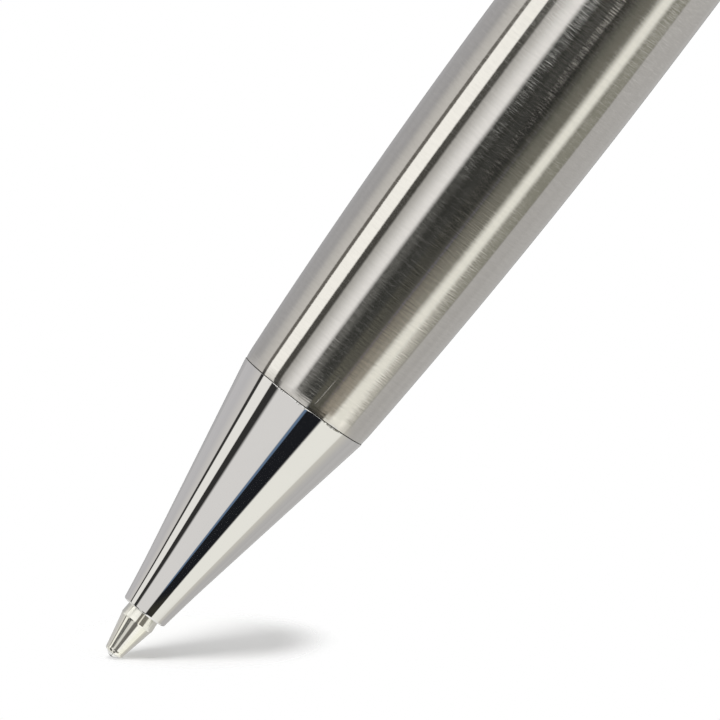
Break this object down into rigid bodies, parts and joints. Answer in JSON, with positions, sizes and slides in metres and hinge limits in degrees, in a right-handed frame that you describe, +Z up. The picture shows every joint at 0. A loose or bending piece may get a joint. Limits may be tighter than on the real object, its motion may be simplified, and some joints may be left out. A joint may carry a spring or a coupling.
{
  "type": "ballpoint pen",
  "caption": "Twist-action ballpoint pen with a swelling brushed steel barrel, polished conical nose, pale metal writing point, spring clip and turning rear knob.",
  "frame": {"origin": "bottom centre of the pen's box as it lies on its side on a table, on its barrel with the clip turned down towards the table", "axes": "+X along the pen from the writing point to the end cap, +Z up; the clip points to -Y and 37.5 degrees below the horizontal"},
  "size_m": [0.1334, 0.0126, 0.0117],
  "materials": {
    "brushed_steel": "fine brush lines round the pen",
    "polished_steel": "mirror polish",
    "nickel_silver": "bright turned nickel silver",
    "brass": "turned",
    "turned_steel": "turned",
    "spring_steel": "drawn wire",
    "carbide": "lapped",
    "white_plastic": "moulded",
    "black_rubber": "matt",
    "blue_ink": "liquid"
  },
  "bodies": {
    "barrel_body": {"barrel": "brushed_steel", "liner_tube": "brass", "rear_bush": "brass", "guide_sleeve": "brass", "friction_ring": "black_rubber", "thrust_washer": "white_plastic", "retaining_ring": "spring_steel", "clip_collar": "polished_steel"},
    "nose": {"nose_cone": "polished_steel"},
    "clip": {"clip_arm": "polished_steel"},
    "knob": {"twist_knob": "brushed_steel", "cam_sleeve": "turned_steel", "end_cap": "polished_steel"},
    "follower": {"follower": "white_plastic", "follower_pin": "turned_steel"},
    "refill": {"refill_point": "nickel_silver", "refill_neck": "brass", "refill_tube": "turned_steel", "ink_column": "blue_ink", "refill_plug": "white_plastic", "return_spring": "spring_steel"},
    "ball": {"writing_ball": "carbide"}
  },
  "joints": [
    {"name": "refill_slide", "type": "slide", "parent": "barrel_body", "child": "refill", "axis": [1, 0, 0], "range_m": [0, 0.006], "deforming": ["return_spring"]},
    {"name": "follower_slide", "type": "slide", "parent": "barrel_body", "child": "follower", "axis": [1, 0, 0], "range_m": [0, 0.006]},
    {"name": "knob_twist", "type": "hinge", "parent": "barrel_body", "child": "knob", "pos_m": [0.04045, 0.00043, 0.00585], "axis": [1, 0, 0], "range_deg": [0, 180]},
    {"name": "ball_roll", "type": "hinge", "parent": "refill", "child": "ball", "pos_m": [-0.06625, 0.00043, 0.00585], "axis": [0, -0.7934, -0.6088], "continuous": true},
    {"name": "nose_unscrew", "type": "slide", "parent": "barrel_body", "child": "nose", "axis": [-1, 0, 0], "range_m": [0, 0.027]},
    {"name": "clip_flex", "type": "hinge", "parent": "barrel_body", "child": "clip", "pos_m": [0.03875, -0.0034, 0.00291], "axis": [0, -0.6088, 0.7934], "range_deg": [0, 5], "stiffness_Nm_per_rad": 5}
  ],
  "couplings": [
    {"joint": "knob_twist", "follows": "refill_slide", "rad_per_m": 523.6},
    {"joint": "follower_slide", "follows": "refill_slide", "ratio": 1}
  ]
}
